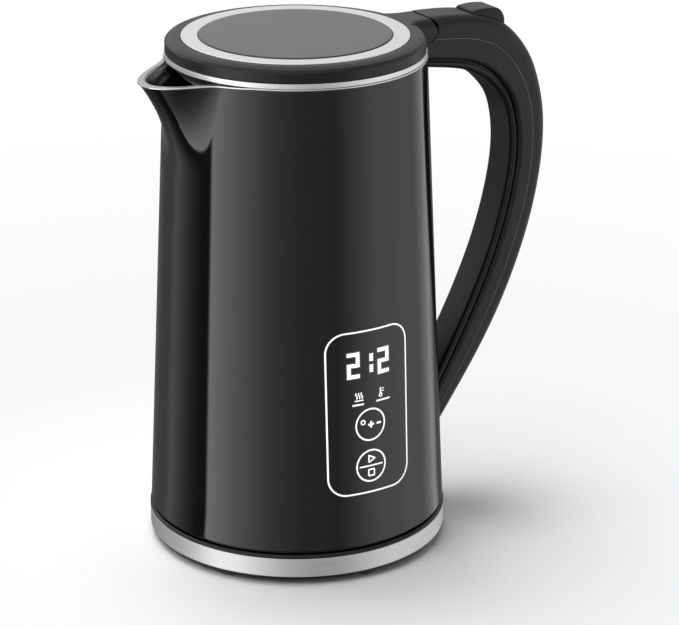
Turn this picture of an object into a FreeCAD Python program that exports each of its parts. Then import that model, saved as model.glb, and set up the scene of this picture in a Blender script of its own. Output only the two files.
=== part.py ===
import FreeCAD, Part
import math
import os

Vector = FreeCAD.Vector

# A cordless electric jug kettle on its power base, in millimetres.
# Z is the kettle's own axis and stands on the table at zero; the handle is at +X, the spout at -X
# and the control panel at -Y.

# Power base
base_radius = 71.3
base_wall = 2.2
tray_radius = base_radius - 0.7
tray_bottom = 2.2
tray_top = 4.2
tray_bevel_width = 1.6
tray_bevel_height = 1.2
tray_rib_outer = 57.0
tray_rib_inner = 55.0
tray_rib_top = 7.0
band_radius = base_radius - 0.8
band_top = 13.5
deck_under = 13.2
deck_edge_low = 13.6
deck_edge_high = 14.0
deck_top = 15.2
foot_count = 6
foot_radius = 6.0
foot_circle = 62.5
foot_seat_depth = 1.0
first_foot_angle = 30.0
base_screw_circle = 40.0
base_screw_seat = 3.4
base_screw_tip = 11.0
base_pilot_top = 12.0
socket_flange_radius = 20.0
socket_flange_top = 6.7
inner_contact_floor = 8.0
outer_contact_floor = 12.0
contact_top = 20.0
gland_z = 8.85
gland_radius = 4.0
gland_bore = 3.2
tower_radius = 16.5
tower_top = 27.0

# Plastic screws, three to a ring unless told otherwise
screw_count = 3
screw_radius = 1.5
screw_head_radius = 3.0
head_room_radius = 3.2
screw_hole_radius = 1.7
pilot_radius = 1.52

# Kettle body
body_foot_z = 16.6
body_foot_radius = 70.7
body_top_z = 236.0
body_top_radius = 60.9
shell_wall = 2.2
liner_radius = 56.0
liner_wall = 0.8
liner_floor = 42.0
floor_wall = 1.0
flare_start = 215.0
flare_width = 2.2
lip_under = 235.4
lip_height = 0.8
lip_overhang = 0.25
bottom_screw_circle = 60.0
first_bottom_angle = 60.0
cover_top = 18.6
cover_screw_seat = 17.7
cradle_low = 40.0
cradle_top = 43.0
power_board_low = 21.0
power_board_top = 22.6

# Pouring spout
spout_reach = 18.8
spout_half_angle = 28.0
spout_root_share = 0.65
spout_root = 190.0
spout_power = 1.5
spout_steps = 16
spout_heights = (184, 190, 196, 202, 208, 214, 220, 226, 232, 238)
lip_bend_x = -45.0
lip_slope = 0.1

# Control panel
panel_low = 42.6
panel_high = 122.2
panel_half_width = 21.85
panel_corner = 9.5
panel_depth = 1.0
board_front = -59.6
board_back = -58.0
board_screw_x = 16.0
board_screw_heights = (50.0, 114.0)
board_screw_radius = 0.98
display_low = 97.0
display_high = 115.5
display_half_width = 13.0
touch_heights = (76.1, 55.9)
touch_pad_radius = 4.5

# Handle, as pairs of points (x, z) across its depth from the outer curve to the inner curve
handle_outer = (
    (56.0, 246.3), (80.0, 246.0), (97.0, 243.8), (112.0, 237.0), (121.8, 226.8), (129.5, 212.0), (133.5, 196.5),
    (134.7, 181.0), (132.0, 154.5), (123.2, 123.1), (109.6, 92.3), (91.2, 62.1), (67.7, 28.9),
)
handle_inner = (
    (56.0, 223.9), (78.5, 220.5), (89.7, 217.6), (97.9, 213.4), (101.6, 210.6), (108.7, 202.8), (112.8, 193.6),
    (114.8, 181.0), (112.9, 158.0), (105.1, 129.5), (92.6, 100.4), (76.6, 70.5), (62.8, 46.2),
)
handle_half_width = 11.5
grip_half_width = 10.2
groove_half_width = 9.0
cavity_half_width = 8.8
seam_share = 0.42
groove_share = 0.84
grip_share = 0.87
back_wall_share = 0.12
frame_floor_share = 0.72
handle_edge_round = 5.0
handle_front_wall = 73.0

# Lid, its hinge and its catch
hinge_x = 65.0
hinge_z = 241.0
barrel_radius = 5.7
tongue_top = 246.0
pin_radius = 1.6
lug_radius = 3.8
lug_foot = 3.0
lug_heel = 0.4
lug_inner = 3.4
lug_outer = 6.3
knuckle_inner = 6.6
tongue_half_width = 11.3
lid_radius = 60.2
lid_low = 238.7
lid_top = 246.1
ring_outer = 52.8
ring_inner = 44.9
ring_low = 244.2
ring_high = 245.8
lid_screw_circle = 40.0
lid_pilot_top = 241.0
lid_screw_tip = 240.0
first_lid_angle = 60.0
pan_low = 229.0
pan_well_radius = 53.4
pan_high = 238.6
pan_edge_low = 236.5
pan_radius = 60.6
pan_wall = 0.8
seal_radius = 56.3

# Release button and latch
button_front = 92.6
button_rear = 110.6
button_half_width = 7.5
button_travel = 3.0
latch_low = 237.0
latch_high = 240.4
latch_half_width = 4.5
running_gap = 0.35
spring_x = 107.5
spring_low = 222.0
button_under = 236.6
channel_rear = 104.6
channel_half_width = 5.2

# Blocks and rods that cut right through reach past everything there
past_side = 20.0
past_top = 260.0


def polar(radius, angle, z):
    return Vector(radius * math.cos(math.radians(angle)), radius * math.sin(math.radians(angle)), z)


def cylinder(radius, low, high, x=0.0, y=0.0):
    return Part.makeCylinder(radius, high - low, Vector(x, y, low))


def tube(outer, inner, low, high):
    return cylinder(outer, low, high).cut(cylinder(inner, low, high))


def rod_along_x(radius, start, end, y, z):
    return Part.makeCylinder(radius, end - start, Vector(start, y, z), Vector(1, 0, 0))


def rod_along_y(radius, start, end, x, z):
    return Part.makeCylinder(radius, end - start, Vector(x, start, z), Vector(0, 1, 0))


def block(x0, x1, y0, y1, z0, z1):
    return Part.makeBox(x1 - x0, y1 - y0, z1 - z0, Vector(x0, y0, z0))


def turned(profile):
    """Solid of revolution about Z from a closed outline of (radius, height) points."""
    points = [Vector(radius, 0, z) for radius, z in profile]
    face = Part.Face(Part.makePolygon(points + points[:1]))
    return face.revolve(Vector(0, 0, 0), Vector(0, 0, 1), 360)


def slab_along_y(outline, half_width):
    """Prism across Y from a closed outline of (x, z) points."""
    points = [Vector(x, -half_width, z) for x, z in outline]
    face = Part.Face(Part.makePolygon(points + points[:1]))
    return face.extrude(Vector(0, 2 * half_width, 0))


def around(shape, count, first=0.0):
    """Copies of a shape at even steps about Z."""
    copies = []
    for step in range(count):
        copy = shape.copy()
        copy.rotate(Vector(0, 0, 0), Vector(0, 0, 1), first + 360.0 * step / count)
        copies.append(copy)
    return copies


def screw(head_low, head_high, tip, circle):
    """Screw that points up, with its head below, at a distance along X."""
    head = cylinder(screw_head_radius, head_low, head_high, circle)
    return head.fuse(cylinder(screw_radius, head_high, tip, circle)).removeSplitter()


def coil(radius, wire, length, turns):
    """Round wire on a helix about Z that starts at zero."""
    path = Part.makeHelix(length / turns, length, radius)
    section = Part.Wire(Part.makeCircle(wire, Vector(radius, 0, 0), Vector(0, 1, 0)))
    return Part.Wire(path.Edges).makePipeShell([section], True, True)


def body_radius(z):
    slope = (body_top_radius - body_foot_radius) / (body_top_z - body_foot_z)
    return body_foot_radius + slope * (z - body_foot_z)


def reach_at(z):
    """How far the spout's ridge stands out of the cone: a power curve from its root up to the lip."""
    share = max(0.0, (z - spout_root) / (body_top_z - spout_root))
    return spout_reach * share ** spout_power


def liner_radius_at(z):
    """Straight below, then flared as a square curve up to the rim."""
    share = max(0.0, (z - flare_start) / (lip_under - flare_start))
    return liner_radius + flare_width * share ** 2


def half_angle_at(z):
    """Half of the angle that the spout takes up: it narrows evenly from the lip down to the root."""
    share = min(1.0, max(0.0, (z - spout_root) / (lip_under - spout_root)))
    return spout_half_angle * (spout_root_share + (1.0 - spout_root_share) * share)


def mouth_wire(radius, reach, z, half_angle=spout_half_angle):
    """Closed outline at one height: a round arc at the back and a cosine-squared swell over the spout."""
    swell = []
    for step in range(spout_steps + 1):
        turn = 2.0 * step / spout_steps - 1.0
        share = math.cos(math.pi / 2 * turn) ** 2
        swell.append(polar(radius + reach * share, 180.0 + half_angle * turn, z))
    curve = Part.BSplineCurve()
    start = polar(1.0, 270.0 - half_angle, 0.0)
    end = polar(1.0, 270.0 + half_angle, 0.0)
    curve.interpolate(Points=swell, InitialTangent=start, FinalTangent=end)
    back = Part.Arc(swell[-1], polar(radius, 0.0, z), swell[0])
    return Part.Wire([curve.toShape(), back.toShape()])


def spouted_wall(radius_at, wall):
    """Upper wall with the spout in it: a loft of mouth outlines, less the same loft moved inwards."""
    lofts = []
    for inset in (0.0, wall):
        wires = [mouth_wire(radius_at(z) - inset, reach_at(z), z, half_angle_at(z)) for z in spout_heights]
        lofts.append(Part.makeLoft(wires, True, False))
    return lofts[0].cut(lofts[1])


def joined(shape, other):
    """Fuse of two solids whose round edges meet to within a micron."""
    return shape.fuse([other], 0.001)


def above_lip(level):
    """Everything over the rim: level round the mouth, with the spout's lip dipping towards its tip."""
    far = -100.0
    dip = level + lip_slope * (far - lip_bend_x)
    return slab_along_y(((100, level), (lip_bend_x, level), (far, dip), (far, 270), (100, 270)), 100)


def handle_curve(share, y):
    """Curve along the handle at a share of its depth, from 0 at the outer curve to 1 at the inner one."""
    points = []
    for outer, inner in zip(handle_outer, handle_inner):
        x = outer[0] + share * (inner[0] - outer[0])
        z = outer[1] + share * (inner[1] - outer[1])
        points.append(Vector(x, y, z))
    curve = Part.BSplineCurve()
    curve.interpolate(points)
    return curve.toShape(), points


def handle_layer(outer_share, inner_share, half_width):
    outer, outer_points = handle_curve(outer_share, -half_width)
    inner, inner_points = handle_curve(inner_share, -half_width)
    start = Part.makeLine(outer_points[0], inner_points[0])
    end = Part.makeLine(outer_points[-1], inner_points[-1])
    face = Part.Face(Part.Wire(Part.__sortEdges__([outer, end, inner, start])))
    return face.extrude(Vector(0, 2 * half_width, 0))


nodes = {}

# Power base: a tray on rubber feet, a deck with a steel band and the round socket in its middle
tray = turned((
    (0, tray_bottom), (tray_radius - tray_bevel_width, tray_bottom),
    (tray_radius, tray_bottom + tray_bevel_height), (tray_radius, tray_top),
    (tray_rib_outer, tray_top), (tray_rib_outer, tray_rib_top),
    (tray_rib_inner, tray_rib_top), (tray_rib_inner, tray_top), (0, tray_top),
))
foot_recess = cylinder(foot_radius + 0.1, tray_bottom, tray_bottom + foot_seat_depth, foot_circle)
screw_recess = cylinder(head_room_radius, tray_bottom, base_screw_seat, base_screw_circle)
screw_recess = screw_recess.fuse(cylinder(screw_hole_radius, tray_bottom, tray_top, base_screw_circle))
recesses = around(foot_recess, foot_count, first_foot_angle)
recesses += around(screw_recess, screw_count, first_foot_angle)
for recess in recesses:
    tray = tray.cut(recess)
nodes["base_tray"] = tray

foot = cylinder(foot_radius, 0, tray_bottom + foot_seat_depth, foot_circle)
foot = foot.makeChamfer(0.5, [edge for edge in foot.Edges if edge.CenterOfMass.z < 0.01])
nodes["base_feet"] = Part.makeCompound(around(foot, foot_count, first_foot_angle))
base_screw = screw(tray_bottom + 0.1, base_screw_seat, base_screw_tip, base_screw_circle)
nodes["base_screws"] = Part.makeCompound(around(base_screw, screw_count, first_foot_angle))

wall_outer = band_radius - 0.1
deck_hole = tower_radius + 0.7
deck = turned((
    (deck_hole, deck_under), (wall_outer - base_wall, deck_under), (wall_outer - base_wall, tray_top),
    (wall_outer, tray_top), (wall_outer, deck_edge_low), (base_radius, deck_edge_low),
    (base_radius, deck_edge_high), (base_radius - 1.2, deck_top), (deck_hole, deck_top),
))
post = cylinder(4.0, tray_top, deck_under + 0.5, base_screw_circle)
pilot = cylinder(pilot_radius, tray_top, base_pilot_top, base_screw_circle)
for piece in around(post, screw_count, first_foot_angle):
    deck = deck.fuse(piece)
for piece in around(pilot, screw_count, first_foot_angle):
    deck = deck.cut(piece)
gland_hole = rod_along_y(gland_radius + 0.05, 60, 80, 0, gland_z)
nodes["base_cover"] = deck.cut(gland_hole).removeSplitter()
nodes["base_band"] = tube(base_radius, band_radius, tray_top + 0.1, band_top).cut(gland_hole)

gland_shoulder = base_radius + 0.3
gland = rod_along_y(gland_radius, 61, gland_shoulder, 0, gland_z)
gland = gland.fuse(rod_along_y(gland_radius + 0.8, gland_shoulder, gland_shoulder + 1, 0, gland_z))
nodes["cord_gland"] = gland.cut(rod_along_y(gland_bore, 60, 75, 0, gland_z)).removeSplitter()

nodes["base_socket"] = turned((
    (0, tray_top), (socket_flange_radius, tray_top), (socket_flange_radius, socket_flange_top),
    (tower_radius, socket_flange_top), (tower_radius, tower_top - 1), (tower_radius - 1, tower_top),
    (12, tower_top), (12, outer_contact_floor), (8, outer_contact_floor), (8, tower_top),
    (4, tower_top), (4, inner_contact_floor), (0, inner_contact_floor),
))
inner_contact = tube(3.9, 3.2, inner_contact_floor, contact_top)
outer_contact = tube(11.9, 10.9, outer_contact_floor, contact_top)
nodes["socket_contacts"] = Part.makeCompound([inner_contact, outer_contact])

# Round connector under the kettle, which drops over the socket at any turn
nodes["connector_housing"] = turned((
    (tower_radius + 0.5, 16.2), (20.6, 16.2), (20.6, 18.9), (24, 18.9), (24, 20.4), (20.6, 20.4), (20.6, 30.5),
    (0, 30.5), (0, 28.5), (tower_radius + 0.5, 28.5),
))
tabs = [block(x - 0.4, x + 0.4, -3.2, 3.2, 30.5, 36) for x in (-8, 8)]
nodes["connector_pins"] = Part.makeCompound([cylinder(2.6, 14, 28.5), tube(10.2, 9.4, 15, 28.5)] + tabs)

# Kettle foot: cover, cradle of the liner, heater, sensors and power electronics
cover = turned((
    (21, body_foot_z), (45, body_foot_z), (45, 15.55), (49, 15.55), (49, body_foot_z), (64, body_foot_z),
    (64, 15.9), (69.4, 15.9), (69.4, 16.55), (67.7, 16.55), (67.7, cover_top), (26.5, cover_top),
    (26.5, 22.2), (23, 22.2), (23, 20.8), (24.5, 20.8), (24.5, cover_top), (21, cover_top),
))
board_posts = [cylinder(2.5, cover_top, power_board_low, x, y) for x, y in ((40, 22), (40, -22), (52, 0))]
for piece in board_posts:
    cover = cover.fuse(piece)
screw_way = cylinder(head_room_radius, body_foot_z, cover_screw_seat, bottom_screw_circle)
screw_way = screw_way.fuse(cylinder(screw_hole_radius, body_foot_z, cover_top, bottom_screw_circle))
for piece in around(screw_way, screw_count, first_bottom_angle):
    cover = cover.cut(piece)
nodes["bottom_cover"] = cover.removeSplitter()
bottom_screw = screw(cover_screw_seat - 1.0, cover_screw_seat, 30, bottom_screw_circle)
nodes["bottom_screws"] = Part.makeCompound(around(bottom_screw, screw_count, first_bottom_angle))

cradle_seat = liner_radius + 0.1
cradle = turned((
    (50, cradle_low), (63, cradle_low), (63, cradle_top), (cradle_seat, cradle_top), (cradle_seat, liner_floor),
    (50, liner_floor),
))
cradle_post = cylinder(3.5, cover_top, cradle_low + 0.5, bottom_screw_circle)
cradle_pilot = cylinder(pilot_radius, cover_top, 31, bottom_screw_circle)
for piece in around(cradle_post, screw_count, first_bottom_angle):
    cradle = cradle.fuse(piece)
for piece in around(cradle_pilot, screw_count, first_bottom_angle):
    cradle = cradle.cut(piece)
nodes["liner_cradle"] = cradle.removeSplitter()

plate_low = 38.9
element_circle = 38.0
element_radius = 3.6
element_z = 35.6
nodes["diffuser_plate"] = tube(48, 9, plate_low, liner_floor)
section = Part.makeCircle(element_radius, Vector(element_circle, 0, element_z), Vector(0, 1, 0))
element = Part.Face(Part.Wire(section)).revolve(Vector(0, 0, 0), Vector(0, 0, 1), 310)
element.rotate(Vector(0, 0, 0), Vector(0, 0, 1), -155)
element = element.cut(cylinder(60, plate_low, 45))
for angle in (-151, 151):
    element = element.fuse(Part.makeCylinder(1.6, 8, polar(element_circle, angle, 26)))
nodes["heating_element"] = element
nodes["thermal_cutouts"] = Part.makeCompound([cylinder(7, 32, plate_low, 0, y) for y in (-20, 20)])
probe = cylinder(2.5, 31.5, 46.5)
probe = probe.makeFillet(1.5, [edge for edge in probe.Edges if edge.CenterOfMass.z > 46.4])
nodes["temperature_probe"] = probe
nodes["probe_seal"] = turned((
    (2.5, 40.5), (7, 40.5), (7, liner_floor), (5.5, liner_floor), (5.5, 43), (7, 43), (7, 44.5), (2.5, 44.5),
))
power_board = tube(55, 29, power_board_low, power_board_top)
nodes["power_board"] = power_board.common(block(6, 60, -38, 38, 20, 24))
nodes["heater_relay"] = block(43, 54, -8, 8, power_board_top, 31)

# Stainless liner: straight pot, flared mouth, inside of the spout and the flat turned-out rim
pot_top = spout_heights[0]
pot = turned((
    (0, liner_floor), (liner_radius, liner_floor), (liner_radius, pot_top),
    (liner_radius - liner_wall, pot_top), (liner_radius - liner_wall, liner_floor + floor_wall),
    (0, liner_floor + floor_wall),
))
liner = joined(pot, spouted_wall(liner_radius_at, liner_wall).cut(above_lip(lip_under)))
rim_outer = mouth_wire(body_top_radius + lip_overhang, reach_at(body_top_z), 228)
rim_inner = mouth_wire(liner_radius_at(lip_under) - liner_wall, reach_at(lip_under), 228)
rim = Part.Face(rim_outer).extrude(Vector(0, 0, 14)).cut(Part.Face(rim_inner).extrude(Vector(0, 0, 14)))
rim = rim.common(above_lip(lip_under)).cut(above_lip(lip_under + lip_height))
nodes["liner"] = liner.fuse(rim).cut(cylinder(5.55, 40, 44))

# Outer shell: a plain cone that swells into the spout, with a pocket for the panel
shell = turned((
    (body_foot_radius - shell_wall, body_foot_z), (body_foot_radius, body_foot_z),
    (body_radius(pot_top), pot_top), (body_radius(pot_top) - shell_wall, pot_top),
))
shell = joined(shell, spouted_wall(body_radius, shell_wall).cut(above_lip(lip_under)))


def cone_at(inset, low, high):
    return Part.makeCone(body_radius(low) - inset, body_radius(high) - inset, high - low, Vector(0, 0, low))


def panel_prism(gap):
    prism = block(-panel_half_width - gap, panel_half_width + gap, -80, -50, panel_low - gap, panel_high + gap)
    corners = [edge for edge in prism.Edges if abs(edge.Vertexes[0].Y - edge.Vertexes[-1].Y) > 1]
    return prism.makeFillet(panel_corner + gap, corners)


panel_zone = cone_at(-2.0, 30, 135).cut(cone_at(panel_depth, 29, 136))
lens_zone = cone_at(0.0, 30, 135).cut(cone_at(panel_depth - 0.05, 29, 136))
nodes["control_panel"] = panel_prism(0.0).common(lens_zone)
shell = shell.cut(panel_prism(0.1).common(panel_zone))
window_half_width = display_half_width + 0.5
shell = shell.cut(block(-window_half_width, window_half_width, -75, -60, 88, display_high + 0.5))
for z in touch_heights:
    shell = shell.cut(rod_along_y(6.5, -80, -58, 0, z))
board_corners = [(x, z) for x in (-board_screw_x, board_screw_x) for z in board_screw_heights]
for x, z in board_corners:
    stub = rod_along_y(2.6, -75, board_front, x, z).common(cone_at(panel_depth + 0.4, 30, 135))
    shell = shell.fuse(stub).cut(rod_along_y(1.0, -62, board_front, x, z))
# Handle screws as (y, z, tip x), driven outwards from inside the shell
handle_screw_places = ((5.5, 229.0, 69.0), (-5.5, 229.0, 69.0), (0.0, 50.0, 73.4))
for y, z, tip in handle_screw_places:
    shell = shell.cut(rod_along_x(1.8, 50, 80, y, z))
nodes["outer_shell"] = shell

# Control electronics behind the panel
control_board = block(-19, 19, board_front, board_back, 46, 118)
board_screws = []
for x, z in board_corners:
    control_board = control_board.cut(rod_along_y(1.1, -61, -57, x, z))
    shaft = rod_along_y(board_screw_radius, -61.8, board_back, x, z)
    board_screws.append(shaft.fuse(rod_along_y(2.0, board_back, board_back + 1.2, x, z)).removeSplitter())
nodes["control_board"] = control_board
nodes["board_screws"] = Part.makeCompound(board_screws)
nodes["display_module"] = block(
    -display_half_width, display_half_width, -62.4, board_front, display_low, display_high
)
nodes["indicator_lights"] = Part.makeCompound([
    block(x - 2.5, x + 2.5, -62.1, board_front, 89, 94) for x in (-7, 7)
])
touch_pads = []
for z in touch_heights:
    pad_front = -body_radius(z + touch_pad_radius) + panel_depth + 0.2
    touch_pads.append(rod_along_y(touch_pad_radius, pad_front, board_front, 0, z))
nodes["touch_pads"] = Part.makeCompound(touch_pads)

# Handle: back cover, frame and inner grip, cut to the body and to the lid's hinge
body_clear = cone_at(-0.1, 0, past_top)
hinge_room = barrel_radius + running_gap
hinge_clear = rod_along_y(hinge_room, -past_side, past_side, hinge_x, hinge_z)
hinge_clear = hinge_clear.fuse(block(40, hinge_x, -past_side, past_side, lip_under - 0.1, past_top))
crown_front = hinge_x + math.sqrt(hinge_room ** 2 - (tongue_top + running_gap - hinge_z) ** 2)
hinge_clear = hinge_clear.fuse(block(40, crown_front, -past_side, past_side, hinge_z, past_top))


def cavity(outer_share, inner_share):
    """Hollow of the handle, closed at the front wall and above its lower end."""
    space = handle_layer(outer_share, inner_share, cavity_half_width)
    return space.common(block(handle_front_wall, 200, -past_side, past_side, 62, past_top))


back = handle_layer(0.0, seam_share, handle_half_width)
crown_edges = []
for edge in back.Edges:
    middle = edge.valueAt((edge.FirstParameter + edge.LastParameter) / 2)
    outer_line = handle_curve(0.0, middle.y)[0]
    if edge.Length > 150 and outer_line.distToShape(Part.Vertex(middle))[0] < 0.01:
        crown_edges.append(edge)
back = back.makeFillet(handle_edge_round, crown_edges)
back = back.cut(cavity(back_wall_share, seam_share + 0.02))
back = back.cut(body_clear).cut(hinge_clear)
button_opening = block(
    button_front - 0.4, button_rear + 0.3, -button_half_width - 0.3, button_half_width + 0.3,
    button_under - button_travel - 0.1, past_top,
)
latch_way = block(
    hinge_x, handle_front_wall + 1, -latch_half_width - 0.3, latch_half_width + 0.3,
    latch_low - 0.3, latch_high + 0.3,
)
nodes["handle_back"] = back.cut(button_opening).cut(latch_way)

frame = handle_layer(seam_share, groove_share, handle_half_width)
frame = frame.cut(cavity(seam_share - 0.02, frame_floor_share))
frame = frame.cut(body_clear).cut(hinge_clear)
frame = frame.fuse(cylinder(4.2, 212, spring_low, spring_x).common(handle_layer(0.1, groove_share - 0.02, 8)))
for side in (-1, 1):
    low_y, high_y = sorted((side * lug_inner, side * lug_outer))
    lug = rod_along_y(lug_radius, low_y, high_y, hinge_x, hinge_z)
    lug = lug.fuse(block(hinge_x - lug_foot, hinge_x + lug_heel, low_y, high_y, 234, hinge_z))
    frame = frame.fuse(lug)
frame = frame.cut(rod_along_y(pin_radius + 0.02, -past_side, past_side, hinge_x, hinge_z))
for y, z, tip in handle_screw_places:
    frame = frame.cut(rod_along_x(1.62, 55, tip + 0.3, y, z))
nodes["handle_frame"] = frame

grip = handle_layer(grip_share, 1.0, grip_half_width)
grip = grip.fuse(handle_layer(groove_share, grip_share, groove_half_width))
nodes["handle_grip"] = grip.cut(body_clear)

handle_screws = []
for y, z, tip in handle_screw_places:
    seat = body_radius(z) - shell_wall - 0.5
    handle_screw = rod_along_x(1.6, seat, tip, y, z)
    handle_screws.append(handle_screw.fuse(rod_along_x(2.4, seat - 0.9, seat, y, z)).removeSplitter())
nodes["handle_screws"] = Part.makeCompound(handle_screws)

# Lid hinge: the pin in the frame's two lugs, with the opening spring between them
nodes["hinge_pin"] = rod_along_y(pin_radius, -11.2, 11.2, hinge_x, hinge_z)
lid_spring = coil(2.9, 0.45, 5.4, 5)
lid_spring.rotate(Vector(0, 0, 0), Vector(1, 0, 0), -90)
lid_spring.translate(Vector(hinge_x, -2.7, hinge_z))
nodes["lid_spring"] = lid_spring

# Lid: moulded cap with its hinge knuckles, steel ring, gloss disc, steel pan, seal and screws
cap_under_z = 242.0
cap_skirt_inner = lid_radius - 2.2
cap = turned((
    (0, ring_low), (ring_outer + 0.2, ring_low), (ring_outer + 0.2, 245.5), (lid_radius - 3.2, 245.1),
    (lid_radius - 0.8, 244.3), (lid_radius, 243.2), (lid_radius, lid_low), (cap_skirt_inner, lid_low),
    (cap_skirt_inner, cap_under_z), (0, cap_under_z),
))
tongue_plan = [(hinge_x, tongue_half_width), (62.0, tongue_half_width), (58.0, 13.5), (50.0, 19.0)]
tongue_plan += [(x, -y) for x, y in reversed(tongue_plan)]
corners = [Vector(x, y, lid_low + 0.1) for x, y in tongue_plan]
tongue = Part.Face(Part.makePolygon(corners + corners[:1]))
tongue = tongue.extrude(Vector(0, 0, tongue_top - lid_low - 0.1))
tongue = tongue.cut(cylinder(ring_outer + 0.2, ring_low, 250))
barrel = rod_along_y(barrel_radius, -tongue_half_width, tongue_half_width, hinge_x, hinge_z)
tongue = tongue.fuse(barrel.common(block(50, 80, -past_side, past_side, 230, tongue_top)))
cap = cap.fuse(tongue).cut(rod_along_y(lug_radius + 0.3, -knuckle_inner, knuckle_inner, hinge_x, hinge_z))
cap = cap.cut(block(hinge_x - lug_foot - 0.4, 80, -knuckle_inner, knuckle_inner, 230, hinge_z))
cap = cap.cut(rod_along_y(pin_radius + 0.05, -past_side, past_side, hinge_x, hinge_z))
lid_post = cylinder(4.0, pan_low + pan_wall, cap_under_z + 0.5, lid_screw_circle)
lid_pilot = cylinder(pilot_radius, pan_low + pan_wall, lid_pilot_top, lid_screw_circle)
for piece in around(lid_post, screw_count, first_lid_angle):
    cap = cap.fuse(piece)
for piece in around(lid_pilot, screw_count, first_lid_angle):
    cap = cap.cut(piece)
nodes["lid_cap"] = cap.removeSplitter()
nodes["lid_ring"] = tube(ring_outer, ring_inner, ring_low, ring_high)
disc = cylinder(ring_inner - 0.2, ring_low, lid_top)
nodes["lid_disc"] = disc.makeFillet(0.6, [edge for edge in disc.Edges if edge.CenterOfMass.z > lid_top - 0.1])

pan = turned((
    (0, pan_low), (pan_well_radius, pan_low), (pan_well_radius, pan_high - pan_wall),
    (pan_radius - pan_wall, pan_high - pan_wall), (pan_radius - pan_wall, pan_edge_low),
    (pan_radius, pan_edge_low), (pan_radius, pan_high), (pan_well_radius - pan_wall, pan_high),
    (pan_well_radius - pan_wall, pan_low + pan_wall), (0, pan_low + pan_wall),
))
pan_hole = cylinder(screw_hole_radius, pan_low - 1, pan_low + 2, lid_screw_circle)
for piece in around(pan_hole, screw_count, first_lid_angle):
    pan = pan.cut(piece)
nodes["lid_pan"] = pan.cut(rod_along_y(barrel_radius + 0.1, -12, 12, hinge_x, hinge_z))
nodes["lid_seal"] = turned((
    (pan_well_radius, 231), (55, 231), (seal_radius, 232), (seal_radius, 232.6),
    (55, 233.6), (pan_well_radius, 233.6),
))
lid_screw = screw(pan_low - 1.3, pan_low, lid_screw_tip, lid_screw_circle)
nodes["lid_screws"] = Part.makeCompound(around(lid_screw, screw_count, first_lid_angle))

# Release button, its spring and the latch slide that its slanted leg draws back
cap_under = latch_high + button_travel + 0.3
button = slab_along_y((
    (button_front, 240.8), (button_front + 0.2, 245.9), (99, 246.4), (106.5, 245.9), (109.2, 244.4),
    (button_rear, 237.2), (channel_rear, button_under),
), button_half_width)
button = button.cut(block(90, channel_rear, -channel_half_width, channel_half_width, 230, cap_under))
leg_low = 235.0
leg_shift = -145.0
leg_thick = 3.0


def slanted(low, high, grow, half_width):
    """Leg or slot that moves along X as far as it moves down, because it leans by 45 degrees."""
    near = leg_shift - grow
    far = leg_shift + leg_thick + grow
    outline = ((low + near, low), (low + far, low), (high + far, high), (high + near, high))
    return slab_along_y(outline, half_width)


nodes["release_button"] = button.fuse(slanted(leg_low, cap_under + 1, 0.0, 2.4)).removeSplitter()
latch = block(
    hinge_x + barrel_radius + 0.4, 101, -latch_half_width, latch_half_width, latch_low, latch_high
)
nodes["latch_slide"] = latch.cut(slanted(latch_low - 1, latch_high + 1, 0.2, 2.7))
spring_end_gap = 0.8
button_spring = coil(3.0, 0.5, button_under - spring_low - 2 * spring_end_gap, 6)
button_spring.translate(Vector(spring_x, 0, spring_low + spring_end_gap))
nodes["button_spring"] = button_spring

os.makedirs("parts", exist_ok=True)
for name, shape in nodes.items():
    solids = len(shape.Solids)
    print(name, "solids", solids, "valid", shape.isValid(), "volume", round(shape.Volume, 1))
    shape.exportStep("parts/" + name + ".step")
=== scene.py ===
import math

import bmesh
import bpy
import numpy as np
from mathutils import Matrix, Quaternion, Vector


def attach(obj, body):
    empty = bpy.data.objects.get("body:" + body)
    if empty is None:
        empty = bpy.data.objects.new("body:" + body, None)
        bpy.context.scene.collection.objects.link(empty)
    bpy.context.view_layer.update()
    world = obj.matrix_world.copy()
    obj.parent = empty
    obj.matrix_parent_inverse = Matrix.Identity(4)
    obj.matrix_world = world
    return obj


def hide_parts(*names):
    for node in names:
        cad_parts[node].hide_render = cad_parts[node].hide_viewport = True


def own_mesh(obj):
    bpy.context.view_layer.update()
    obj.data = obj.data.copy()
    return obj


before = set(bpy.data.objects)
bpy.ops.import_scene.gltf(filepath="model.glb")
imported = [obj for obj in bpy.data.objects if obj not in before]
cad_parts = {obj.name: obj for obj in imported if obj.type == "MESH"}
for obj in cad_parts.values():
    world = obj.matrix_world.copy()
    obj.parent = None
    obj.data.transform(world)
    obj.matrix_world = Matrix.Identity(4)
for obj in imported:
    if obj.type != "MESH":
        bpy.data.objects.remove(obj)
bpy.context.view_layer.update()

millimetre = 0.001

# The set: a white table under a large softbox at the upper left, seen from where the photograph was taken.
# Polished surfaces see the room by compass direction: the softbox fades from its sharp left edge towards
# the camera, the white ceiling over the horizon is brighter to the left, and the walls are dark low down.
camera_place = Vector((-0.6244, -1.0814, 0.5742))
camera_forward = Vector((0.48187, 0.80378, -0.3490))
camera_roll = 0.0024
camera_data = bpy.data.cameras.new("camera")
camera_data.sensor_width = 36.0
camera_data.lens = 148.45
camera = bpy.data.objects.new("camera", camera_data)
camera.location = camera_place
aim = camera_forward.to_track_quat("-Z", "Y") @ Quaternion((0, 0, 1), camera_roll)
camera.rotation_euler = aim.to_euler()
bpy.context.scene.collection.objects.link(camera)
bpy.context.scene.camera = camera
bpy.context.scene.view_settings.view_transform = "Standard"


def linear(code):
    """sRGB hex colour to linear values: each channel goes through the sRGB curve, with full opacity added."""
    channels = np.array([int(code[start:start + 2], 16) for start in (1, 3, 5)]) / 255
    low = channels / 12.92
    high = ((channels + 0.055) / 1.055) ** 2.4
    return (*np.where(channels <= 0.04045, low, high), 1.0)


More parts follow.
